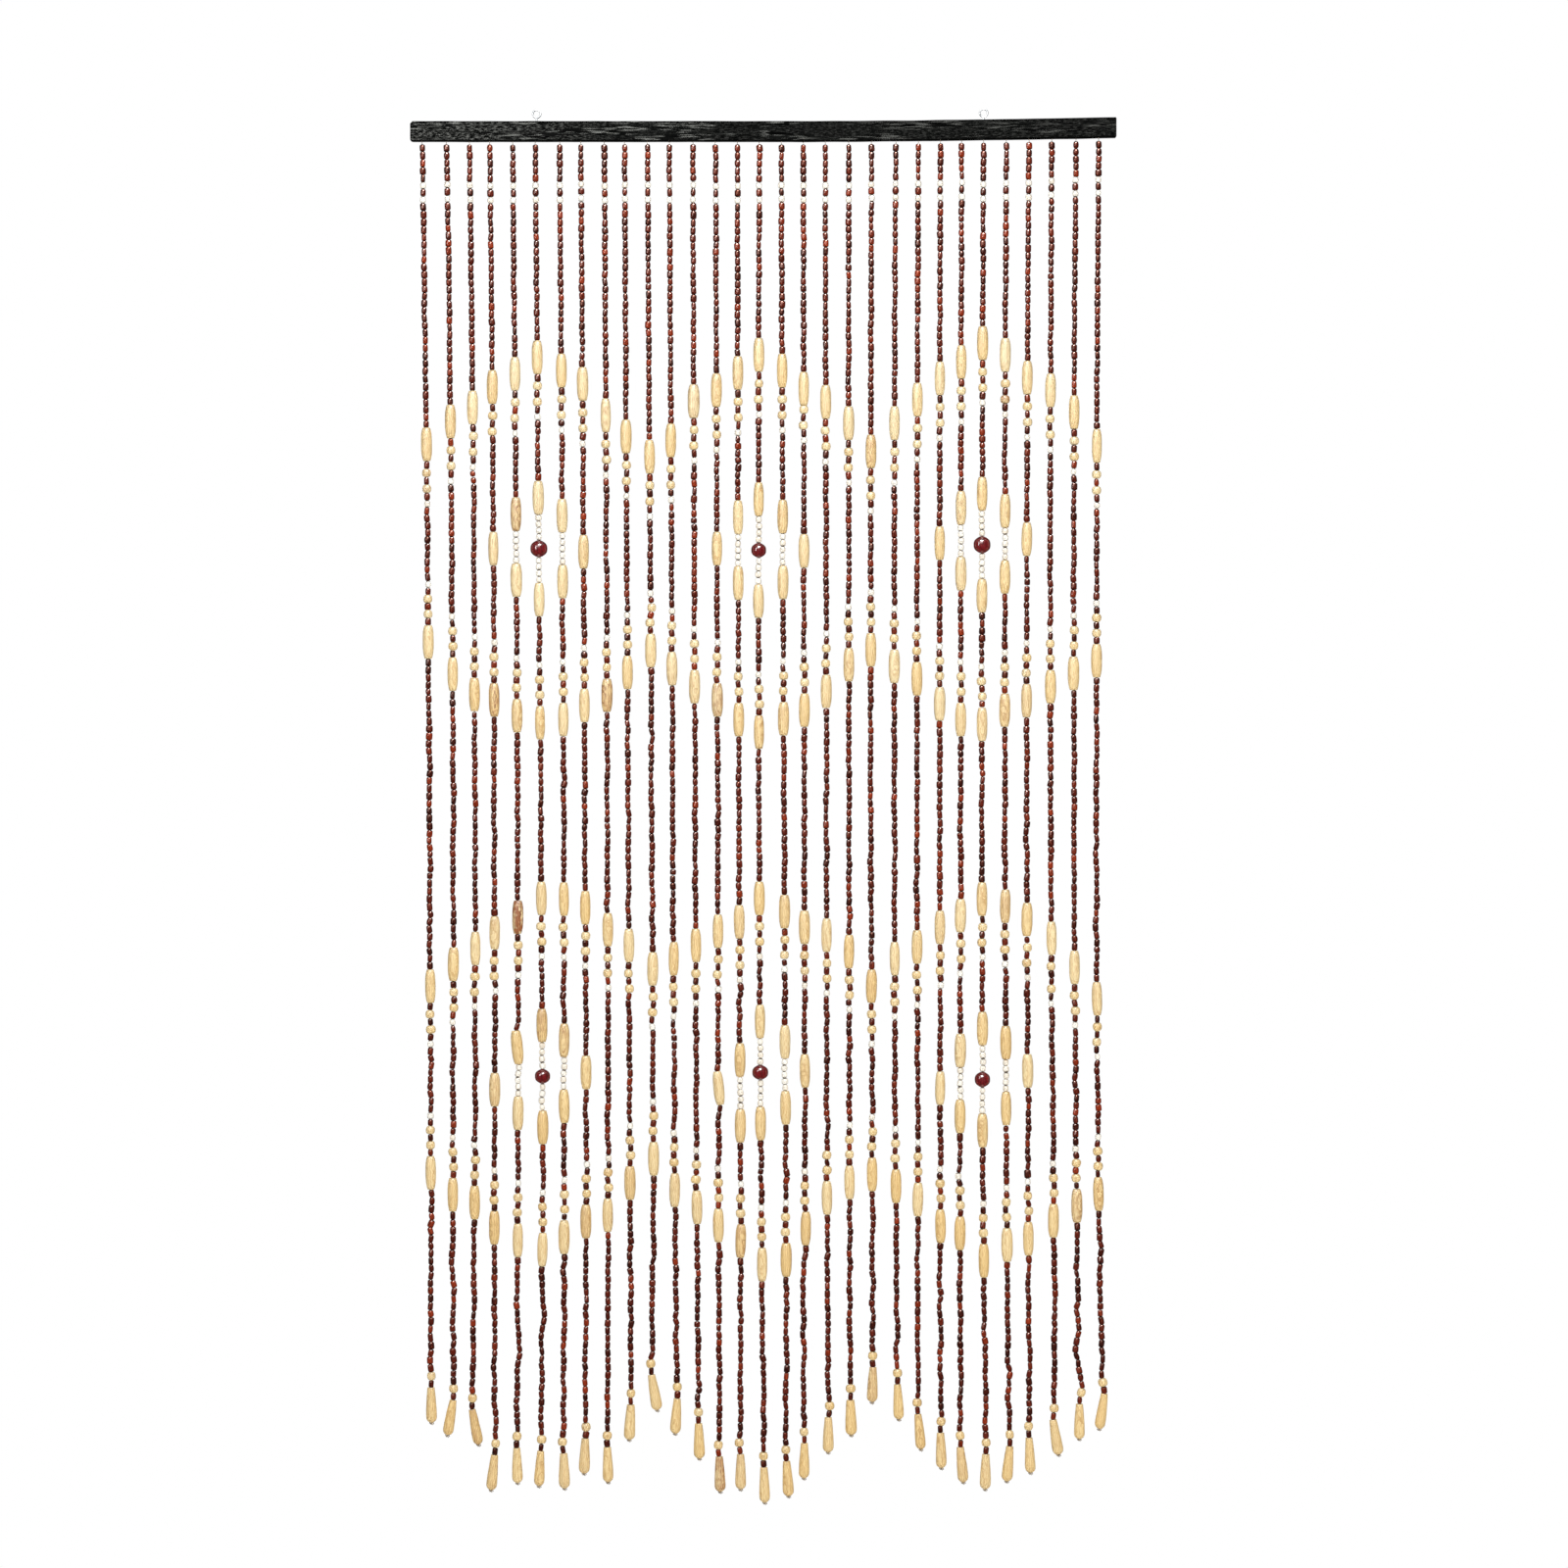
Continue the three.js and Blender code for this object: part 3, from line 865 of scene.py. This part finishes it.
# Each noise has its length along the batten, width across it, detail and shift. lines and spots are
# where the stain is rubbed off: all of their masks together, with along counted from the middle.
blackStain = {
    "fibre": (0.060, 0.0010, 4.0, (0, 0, 0)),
    "scratches": (0.024, 0.0009, 2.0, (3.1, 0, 7.7)),
    "flecks": (0.0060, 0.0010, 4.0, (5.3, 0, 2.9)),
    "patches": (0.075, 0.0060, 1.0, (9.2, 0, 1.3)),
    "black": linear(3, 3, 3),
    "dark": linear(22, 23, 22),
    "darkMask": (0.40, 0.64),
    "rubbed": linear(126, 127, 123),
    "lines": {"scratches": (0.55, 0.60), "patches": (0.49, 0.57), "along": (0.04, 0.10, 1.0, 0.45)},
    "spots": {"flecks": (0.50, 0.60, 0.0, 0.7), "patches": (0.54, 0.46), "along": (-0.18, -0.36, 0.2, 1.0)},
    # painted shade along the rounded top and bottom edges
    "edge": linear(4, 4, 4),
    "edgeShadeMask": (0.0110, 0.0118, 0.0, 0.9),        # metres from the batten's middle
    "roughness": (0.65, 0.85),
    "constants": {"Specular IOR Level": 0.0},
    "relief": (0.6, 0.0006),
}


def barNoise(tree, place, length, width, detail, shift):
    # noise drawn out along the batten
    drawn = {"Vector": place, "Scale": (1 / length, 1 / width, 1 / width), "Location": shift}
    return noiseOf(tree, firstOut(tree, "ShaderNodeMapping", drawn), 1.0, detail)


def blackMaterial():
    look = blackStain
    material, tree, shader = startMaterial("blackStain")
    place = addNode(tree, "ShaderNodeTexCoord").outputs["Object"]
    split = addNode(tree, "ShaderNodeSeparateXYZ", {"Vector": place}).outputs
    # the grain and the painted edge shade follow the warp, so heights are taken from the batten's own middle
    along = stretch(tree, split["X"], warp["start"], barRight)
    raised = calc(tree, "MULTIPLY", calc(tree, "POWER", along, warp["power"]), warp["rise"])
    height = calc(tree, "SUBTRACT", split["Z"], raised)
    straight = firstOut(tree, "ShaderNodeCombineXYZ", {"X": split["X"], "Y": split["Y"], "Z": height})
    masks = {"along": split["X"]}
    for name in ("fibre", "scratches", "flecks", "patches"):
        masks[name] = barNoise(tree, straight, *look[name])

    def allOf(limits):
        share = 1.0
        for name, values in limits.items():
            share = calc(tree, "MULTIPLY", share, stretch(tree, masks[name], *values))
        return share

    layers = (
        (stretch(tree, masks["fibre"], *look["darkMask"]), look["dark"]),
        (calc(tree, "MAXIMUM", allOf(look["lines"]), allOf(look["spots"])), look["rubbed"]),
        # painted shade on the rounded edges
        (stretch(tree, calc(tree, "ABSOLUTE", height), *look["edgeShadeMask"]), look["edge"]),
    )
    base = coverWith(tree, look["black"], layers)
    finishShader(tree, shader, look, base, masks["fibre"], masks["fibre"])
    return material


zincPlate = {
    "clean": linear(196, 199, 201),
    "dull": linear(150, 152, 154),
    "noise": (900.0, 2.0),        # scale and detail
    "roughness": (0.22, 0.42),
    "constants": {"Metallic": 1.0},
}
nylonLine = {
    "clean": linear(214, 204, 186),
    "dull": linear(150, 124, 92),
    "noise": (500.0, 1.0),
    "roughness": (0.2, 0.4),
    "constants": {"Transmission Weight": 0.2},
}


def wireMaterial(name, look):
    material, tree, shader = startMaterial(name)
    place = addNode(tree, "ShaderNodeTexCoord").outputs["Object"]
    spots = noiseOf(tree, place, *look["noise"])
    finishShader(tree, shader, look, blendColour(tree, spots, look["clean"], look["dull"]), spots)
    return material


looks = {
    "red": beadMaterial("redLacquer", redLacquer, redColour),
    "pale": beadMaterial("paleWood", paleWood, paleColour),
    "white": beadMaterial("whitePaint", whitePaint, whiteColour),
    "maroon": beadMaterial("maroonGloss", maroonGloss, maroonColour),
    "black": blackMaterial(),
    "zinc": wireMaterial("zincPlate", zincPlate),
    "nylon": wireMaterial("nylonLine", nylonLine),
}
print("finishes mixed:", ", ".join(looks))


# The bead tree's inputs for each form of bead
inputNames = (
    "Sides", "Rings", "Ring Gather", "Widest At", "Top Width", "Foot Width",
    "Top Curve", "Foot Curve", "Rounder", "Taper", "Unevenness", "Unevenness Size",
)
beadForms = {
    "tube": (8, 5, 1.5, 0.0, 0.60, 0.60, 8.0, 8.0, 0.08, 0.14, 0.0007, 0.005),
    "white": (10, 5, 1.5, 0.0, 0.52, 0.52, 4.8, 4.8, 0.06, 0.05, 0.0004, 0.005),
    "ball": (12, 6, 1.35, 0.0, 0.60, 0.60, 3.2, 3.2, 0.0, 0.0, 0.0005, 0.006),
    "barrel": (12, 8, 1.35, 0.0, 0.68, 0.64, 3.7, 3.2, 0.0, 0.03, 0.0006, 0.012),
    "bigBall": (36, 22, 1.6, 0.0, 0.22, 0.22, 2.9, 2.9, 0.0, 0.0, 0.0003, 0.012),
    "drop": (20, 18, 1.3, -0.57, 0.68, 0.40, 1.45, 4.0, 0.0, 0.03, 0.0006, 0.012),
}
# Bead pieces: which beads, their form, finish and slot
beadPieces = (
    *(("redTubes" + third, "tube" + third, "tube", "red", "red_beads") for third in thirds),
    ("whiteBeads", "white", "white", "white", "white_beads"),
    ("woodBalls", "ball", "ball", "pale", "natural_beads"),
    ("woodBarrels", "barrel", "barrel", "pale", "natural_beads"),
    ("maroonBalls", "bigBall", "bigBall", "maroon", "dark_balls"),
    ("woodDrops", "drop", "drop", "pale", "natural_beads"),
)
turnedBeads = beadTree(formTree())


def pointMesh(name, group):
    mesh = bpy.data.meshes.new(name)
    mesh.from_pydata(group["place"], [], [])
    for key in ("beadAxis", "beadSize"):
        flat = [number for vector in group[key] for number in vector]
        mesh.attributes.new(key, "FLOAT_VECTOR", "POINT").data.foreach_set("vector", flat)
    for key in ("beadSpin", "beadTint", "beadSeed", "beadMark"):
        mesh.attributes.new(key, "FLOAT", "POINT").data.foreach_set("value", group[key])
    mesh.attributes.new("beadForm", "INT", "POINT").data.foreach_set("value", group["beadForm"])
    return mesh


for name, key, form, look, slotName in beadPieces:
    piece = newPiece(name, pointMesh(name, beadLists[key]))
    grow(piece, turnedBeads, {**dict(zip(inputNames, beadForms[form])), "Material": looks[look]})
    settle(piece, ["string_set"])


# Threads: nylon line from the batten down through every bead, ending in a small knot
thread = {
    "radius": 0.45 * mm,
    "sides": 5,
    "intoBatten": 6 * mm,
    "knotSize": 1.0 * mm,
    "knotSteps": 22,
    "knotGap": 0.3 * mm,
    "knotEnd": (1.2, 0, -2.2),        # the cut end, in knot sizes from the knot's middle
}


def knotBelow(foot):
    # three flat loops, wider than the drop's hole
    size = thread["knotSize"]
    middle = foot - Vector((0, 0, size + thread["knotGap"]))
    points = []
    for i in range(thread["knotSteps"]):
        turn = math.tau * i / thread["knotSteps"]
        across = math.sin(turn) + 2 * math.sin(2 * turn)
        deep = math.cos(turn) - 2 * math.cos(2 * turn)
        points.append(middle + Vector((size * across, size * deep, -size * math.sin(3 * turn))))
    points.append(middle + Vector([size * share for share in thread["knotEnd"]]))
    return points


def lineMesh(name, lines):
    points = []
    edges = []
    for line in lines:
        first = len(points)
        points.extend(line)
        edges.extend((first + i, first + i + 1) for i in range(len(line) - 1))
    mesh = bpy.data.meshes.new(name)
    mesh.from_pydata(points, edges, [])
    return mesh


wires = wireTree()
threadPaths = []
for string, joints in zip(strings, threadLines):
    x = string["hole"] * mm
    above = Vector((x, stringPlane, barUnder + lift(x) + thread["intoBatten"]))
    threadPaths.append([above] + joints + knotBelow(joints[-1]))
threads = newPiece("threads", lineMesh("threads", threadPaths))
grow(threads, wires, {"Radius": thread["radius"], "Sides": thread["sides"], "Material": looks["nylon"]})
settle(threads, ["string_set"])


# Batten: a rough-sawn bar with softened edges, drilled for the threads and the screw eyes
bar = {
    "step": 5 * mm,
    "faceSteps": (3, 6, 3, 6),        # across the top, down the back, below and up the front
    "edgeRound": 0.9 * mm,
    "edgeSteps": 3,
    "sawn": 0.30 * mm,                # unevenness of the sawn edges, and half of it on the wide faces
    "sawnLength": 0.035,
    "sawnWidth": 90,                  # its waves across the bar, for each metre
    "sawnShift": 40,                  # parts the noise of the wide faces from that of the edges
    "leftTopCut": 3.0 * mm,
    "leftFootCut": 1.4 * mm,
    "rightCut": 0.9 * mm,
    "holeRadius": 1.3 * mm,
    "holeSides": 12,
    "holeDepth": 9 * mm,
    "eyeHoleDepth": 13 * mm,
    "drillPast": 2 * mm,              # how far a drill stands out of its hole
    "smoothBelow": 40,                # degrees between faces
}


def barSection(low, high):
    # points round the bar's section as (depth, height), over the top, down the back and round
    edge = bar["edgeRound"]
    front, back, under, over = barFront + edge, barBack - edge, low + edge, high - edge
    corners = ((front, over, 180), (back, over, 90), (back, under, 0), (front, under, -90))
    arcs = []
    for y, z, start in corners:
        angles = [math.radians(start - 90 * i / bar["edgeSteps"]) for i in range(bar["edgeSteps"] + 1)]
        arcs.append([(y + edge * math.cos(angle), z + edge * math.sin(angle)) for angle in angles])
    section = []
    for arc, following, steps in zip(arcs, arcs[1:] + arcs[:1], bar["faceSteps"]):
        section += arc
        for j in range(1, steps):
            section.append(tuple(a + (b - a) * (j / steps) for a, b in zip(arc[-1], following[0])))
    return section


def barShape(mesh):
    # loft of sections along the batten, its ends cut back at the corners
    count = round((barRight - barLeft) / bar["step"])
    stations = [barLeft + (barRight - barLeft) * i / count for i in range(1, count)]
    ends = [0, bar["rightCut"], bar["leftTopCut"]]
    stations += [barLeft + away for away in ends] + [barRight - away for away in ends[:2]]
    sections = []
    for x in sorted(set(stations)):
        fromLeft, fromRight = x - barLeft, barRight - x
        high = barTop - max(0, bar["leftTopCut"] - fromLeft, bar["rightCut"] - fromRight)
        low = barUnder + max(0, bar["leftFootCut"] - fromLeft, bar["rightCut"] - fromRight)
        ring = []
        for y, z in barSection(low, high):
            along, across, up = x / bar["sawnLength"], y * bar["sawnWidth"], z * bar["sawnWidth"]
            rough = noise.noise(Vector((along, across, up)))
            side = noise.noise(Vector((along + bar["sawnShift"], across, up)))
            ring.append(mesh.verts.new((x, y + side * bar["sawn"] / 2, z + rough * bar["sawn"] + lift(x))))
        sections.append(ring)
    for near, far in zip(sections, sections[1:]):
        for i in range(len(near)):
            j = (i + 1) % len(near)
            mesh.faces.new((near[i], near[j], far[j], far[i]))
    mesh.faces.new(reversed(sections[0]))
    mesh.faces.new(sections[-1])


def drills(mesh):
    # upright cylinders to cut the holes with
    def drill(x, low, high):
        ends = {"radius1": bar["holeRadius"], "radius2": bar["holeRadius"], "depth": high - low}
        shape = bmesh.ops.create_cone(mesh, cap_ends=True, segments=bar["holeSides"], **ends)
        bmesh.ops.translate(mesh, verts=shape["verts"], vec=(x, stringPlane, (low + high) / 2))

    for string in strings:
        x = string["hole"] * mm
        face = barUnder + lift(x)
        drill(x, face - bar["drillPast"], face + bar["holeDepth"])
    for node in ("left_eye", "right_eye"):
        low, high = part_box(node)
        x = (low.x + high.x) / 2
        face = barTop + lift(x)
        drill(x, face - bar["eyeHoleDepth"], face + bar["drillPast"])


def meshFrom(name, shape):
    mesh = bpy.data.meshes.new(name)
    build = bmesh.new()
    shape(build)
    bmesh.ops.recalc_face_normals(build, faces=build.faces)
    build.to_mesh(mesh)
    build.free()
    return mesh


batten = newPiece("battenBar", meshFrom("battenBar", barShape))
cutters = newPiece("drills", meshFrom("drills", drills))
holes = batten.modifiers.new("holes", "BOOLEAN")
holes.operation = "DIFFERENCE"
holes.solver = "EXACT"
holes.object = cutters
plainMesh(batten, holes)
bpy.data.objects.remove(cutters)
batten.data.materials.clear()
batten.data.materials.append(looks["black"])
batten.data.shade_smooth()
batten.data.set_sharp_from_angle(angle=math.radians(bar["smoothBelow"]))
settle(batten, ["batten", "string_set"])


# Screw eyes: one wire, up the shank and round the ring to meet its own neck
eye = {
    "wire": 1.0 * mm,
    "ring": 5.0 * mm,
    "level": 10 * mm,        # from the batten's top to the ring's middle
    "shank": 11 * mm,
    "neck": ((0, -1.9), (0.12, -1.2), (0.6, -0.4)),        # millimetres from the ring's lowest point
    "turn": (18, 350),       # degrees from there to where the ring starts and ends
    "sides": 12,
    "steps": 36,
}


def eyeLine(x, ringTop):
    ring = eye["ring"]
    middle = ringTop - eye["wire"] - ring
    top = middle - eye["level"]
    path = [(0, top - eye["shank"]), (0, top)]
    path += [(across * mm, middle - ring + up * mm) for across, up in eye["neck"]]
    start, end = (math.radians(angle) for angle in eye["turn"])
    for i in range(eye["steps"] + 1):
        turn = start + (end - start) * i / eye["steps"]
        path.append((ring * math.sin(turn), middle - ring * math.cos(turn)))
    return [Vector((x + across, stringPlane, height)) for across, height in path]


for name, node in (("leftScrewEye", "left_eye"), ("rightScrewEye", "right_eye")):
    low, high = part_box(node)
    piece = newPiece(name, lineMesh(name, [eyeLine((low.x + high.x) / 2, high.z)]))
    grow(piece, wires, {"Radius": eye["wire"], "Sides": eye["sides"], "Material": looks["zinc"]})
    settle(piece, [node])


# Studio: a pale floor, seen from above only, under white surroundings
white = (1, 1, 1, 1)
studio = {
    "floorLevel": -1.86,
    "floorSize": 60.0,
    "floorColour": (0.9, 0.9, 0.9, 1),
    "floorRoughness": 0.8,
    "roomLight": 0.34,
    "roomGleam": 0.05,
}


def floorMaterial():
    material, tree, shader = startMaterial("paleFloor")
    shader.inputs["Base Color"].default_value = studio["floorColour"]
    shader.inputs["Roughness"].default_value = studio["floorRoughness"]
    plain = firstOut(tree, "ShaderNodeEmission", {"Color": white, "Strength": 1.0})
    isCamera = addNode(tree, "ShaderNodeLightPath").outputs["Is Camera Ray"]
    mixed = firstOut(tree, "ShaderNodeMixShader", {0: isCamera, 1: shader.outputs[0], 2: plain})
    isUnder = addNode(tree, "ShaderNodeNewGeometry").outputs["Backfacing"]
    clear = firstOut(tree, "ShaderNodeBsdfTransparent")
    oneSided = firstOut(tree, "ShaderNodeMixShader", {0: isUnder, 1: mixed, 2: clear})
    feed(tree, tree.nodes["Material Output"].inputs["Surface"], oneSided)
    return material


half = studio["floorSize"] / 2
corners = ((-half, -half), (half, -half), (half, half), (-half, half))
floorMesh = bpy.data.meshes.new("floor")
floorMesh.from_pydata([Vector((x, y, studio["floorLevel"])) for x, y in corners], [], [(0, 1, 2, 3)])
floorMesh.materials.append(floorMaterial())
floor = newPiece("floor", floorMesh)
floor.visible_glossy = False

world = bpy.data.worlds.new("studioWhite")
scene.world = world
world.use_nodes = True
sky = world.node_tree
sky.nodes.clear()
rays = addNode(sky, "ShaderNodeLightPath").outputs
# the room's own gleam on gloss is weak, and behind the curtain the room is plain white
inGloss = calc(sky, "MULTIPLY", rays["Is Glossy Ray"], studio["roomGleam"] - studio["roomLight"])
seen = calc(sky, "MULTIPLY", rays["Is Camera Ray"], 1.0 - studio["roomLight"])
strength = calc(sky, "ADD", calc(sky, "ADD", inGloss, seen), studio["roomLight"])
room = firstOut(sky, "ShaderNodeBackground", {"Color": white, "Strength": strength})
addNode(sky, "ShaderNodeOutputWorld", {"Surface": room})

softboxes = (
    # name, place, what it looks at, width, height, watts, whether it lights matt and gleams on glossy
    ("keyBox", (-0.5, -2.7, 0.9), (0, 0, -0.6), 2.4, 1.6, 66, True, True),
    ("fillBox", (1.5, -2.8, -1.0), (0.1, 0, -1.1), 1.2, 1.8, 26, True, False),
    ("topGleam", (0.1, -1.3, 1.4), (0, 0, -0.6), 1.2, 0.6, 260, False, True),
    ("sideGleam", (-1.9, -2.0, 0.1), (0, 0, -0.3), 0.35, 1.6, 46, False, True),
    ("backBox", (0.4, 2.9, 0.3), (0, 0, -0.9), 2.4, 2.0, 70, True, False),
)
for name, place, target, width, height, watts, lightsMatt, gleams in softboxes:
    light = bpy.data.lights.new(name, "AREA")
    light.shape = "RECTANGLE"
    light.size, light.size_y = width, height
    light.energy = watts
    lamp = bpy.data.objects.new(name, light)
    lamp.visible_camera = False
    lamp.visible_diffuse = lightsMatt
    lamp.visible_glossy = gleams
    lamp.location = place
    lamp.rotation_euler = (Vector(target) - Vector(place)).to_track_quat("-Z", "Y").to_euler()
    scene.collection.objects.link(lamp)

# Camera: square on, one pixel of the 1600-pixel picture is 1.25 mm at the strings
camera = {
    "distance": 6.0,
    "sensor": 36,
    "pixel": 1.25 * mm,
    "pixels": 1600,
    "battenAt": (778.9, 134.3),
}
view = bpy.data.cameras.new("camera")
view.sensor_width = camera["sensor"]
view.lens = camera["sensor"] * camera["distance"] / (camera["pixel"] * camera["pixels"])
view.clip_end = 100
viewer = bpy.data.objects.new("camera", view)
across, down = ((camera["pixels"] / 2 - at) * camera["pixel"] for at in camera["battenAt"])
viewer.location = (across, stringPlane - camera["distance"], -down)
viewer.rotation_euler = (math.pi / 2, 0, 0)
scene.collection.objects.link(viewer)
scene.camera = viewer
scene.view_settings.view_transform = "Standard"
print("studio ready")
